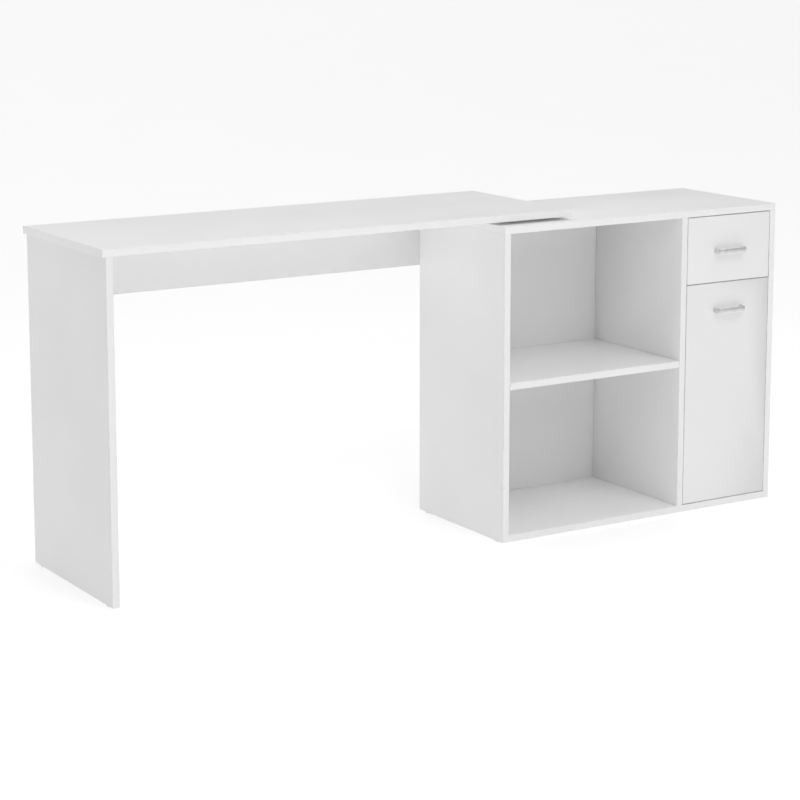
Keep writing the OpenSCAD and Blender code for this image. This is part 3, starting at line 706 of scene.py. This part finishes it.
def rail_outline(half, lip, curl):
    """Section of a rolled rail as (across, up) points: the web at 0, flanges as far as lip.

    The flanges' ends turn in by curl."""
    sheet = RAIL_T / 2
    out, top = lip - sheet, half - sheet
    corners = [(out, top - curl), (out, top), (sheet, top), (sheet, -top), (out, -top), (out, curl - top)]
    line = rounded_route([Vector(corner) for corner in corners], RAIL_BEND, steps=5)
    right = [place + facing * sheet for place, facing in line]
    left = [place - facing * sheet for place, facing in line]
    return right + left[::-1]


def make_rail(node, toward, curl, materials):
    """A rolled rail in place of the CAD one, its flanges toward +X or -X."""
    low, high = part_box(node)
    web = low.x if toward > 0 else high.x
    middle = (low.z + high.z) / 2
    section = rail_outline((high.z - low.z) / 2, high.x - low.x, curl)
    mesh = bmesh.new()
    skin(mesh, [
        [mesh.verts.new((web + toward * across, y, middle + up)) for across, up in section]
        for y in (low.y, high.y)
    ])
    stand_in(node, "rolled", mesh, materials)


def make_runners(materials):
    """Outer rails that open toward the drawer, and inner rails that open toward them."""
    for side, toward in (("left", 1), ("right", -1)):
        make_rail(f"runner_outer_{side}", toward, RAIL_CURL, materials)
        make_rail(f"runner_inner_{side}", -toward, 0.0, materials)


# ---------- glides ----------

def make_glides(materials):
    """Round nailed glides with a domed foot."""
    for node in ("cab_glides", "leg_glides"):
        mesh = bmesh.new()
        for corners in solids(node):
            low, high = box_of(corners)
            r, length = (high.x - low.x) / 2, high.z - low.z
            dome = [(r * share, GLIDE_DOME * share ** 4) for share in DOME_SHARES]
            rim = [(r * share, height) for share, height in GLIDE_RIM]
            nail = [(NAIL_R, GLIDE_H), (NAIL_R, length - NAIL_POINT_H), (NAIL_POINT_R, length)]
            place = Matrix.Translation(((low.x + high.x) / 2, (low.y + high.y) / 2, low.z))
            lathe(mesh, place, dome + rim + nail)
        stand_in(node, "domed", mesh, materials)


# ---------- studio ----------

def make_camera():
    """The photograph's view."""
    data = bpy.data.cameras.new("camera")
    data.lens = LENS_MM
    data.sensor_width = SENSOR_MM
    data.shift_y = SHIFT_Y
    camera = bpy.data.objects.new("camera", data)
    camera.location = CAMERA_AT
    camera.rotation_euler = (math.pi / 2 - VIEW_PITCH, 0.0, -VIEW_YAW)
    bpy.context.scene.collection.objects.link(camera)
    bpy.context.scene.camera = camera


def floor_material():
    """Matt white paint with a faint texture and a glow of its own."""
    paint = Paint("floor_paint")
    paint.shader.inputs["Emission Color"].default_value = LIGHT_WHITE
    paint.shader.inputs["Emission Strength"].default_value = FLOOR_GLOW
    colour = paint.shade(FLOOR_WHITE, paint.spread(paint.noise(2, detail=3), 0.3, 0.7, 0.995, 1.005))
    return paint.finish(colour, 0.6, paint.bump(paint.noise(60, detail=3), 0.1 * MM))


def make_floor():
    """A plain pale floor."""
    mesh = bmesh.new()
    ways = ((-1, -1), (1, -1), (1, 1), (-1, 1))
    mesh.faces.new([mesh.verts.new((x * FLOOR_HALF, y * FLOOR_HALF, 0.0)) for x, y in ways])
    data = bpy.data.meshes.new("studio_floor")
    mesh.to_mesh(data)
    mesh.free()
    data.materials.append(floor_material())
    floor = bpy.data.objects.new("studio_floor", data)
    bpy.context.scene.collection.objects.link(floor)


def make_world():
    """Soft light from the sky: a haze at the horizon, and broad lobes overhead and behind the desk."""
    world = bpy.data.worlds.new("studio")
    bpy.context.scene.world = world
    world.use_nodes = True
    graph = Graph(world.node_tree)
    ray = graph.add("ShaderNodeTexCoord")["Generated"]
    haze = graph.spread(graph.split(ray)[2], 0.0, HAZE_TOP, HAZE, 0.0)
    total = graph.calc("ADD", haze, WORLD_BASE)
    for way, strength in WORLD_LOBES:
        toward = graph.add("ShaderNodeVectorMath", ray, way, operation="DOT_PRODUCT")["Value"]
        lobe = graph.calc("POWER", graph.calc("MAXIMUM", toward, 0.0), 2.0)
        total = graph.calc("ADD", total, graph.calc("MULTIPLY", lobe, strength))
    back = graph.tree.nodes["Background"]
    graph.feed(back.inputs["Color"], LIGHT_WHITE)
    graph.feed(back.inputs["Strength"], total)


def make_key_softbox():
    """One large softbox, in front of the desk and above it."""
    data = bpy.data.lights.new("key_softbox", "AREA")
    data.shape = "RECTANGLE"
    data.size, data.size_y = KEY_SIZE
    data.energy = KEY_WATTS
    light = bpy.data.objects.new("key_softbox", data)
    light.location = KEY_AT
    light.rotation_euler = (Vector(KEY_AIM) - Vector(KEY_AT)).to_track_quat("-Z", "Y").to_euler()
    bpy.context.scene.collection.objects.link(light)


def make_studio():
    make_camera()
    make_floor()
    make_world()
    make_key_softbox()
    scene = bpy.context.scene
    scene.cycles.diffuse_bounces = WHITE_BOUNCES
    scene.view_settings.view_transform = "Standard"
    scene.view_settings.look = "None"


# ---------- build ----------

finish_boards()
MATERIALS = finish_fittings()
make_handles(MATERIALS)
make_screws(MATERIALS)
make_hinge_arms(MATERIALS)
make_runners(MATERIALS)
make_glides(MATERIALS)
make_studio()
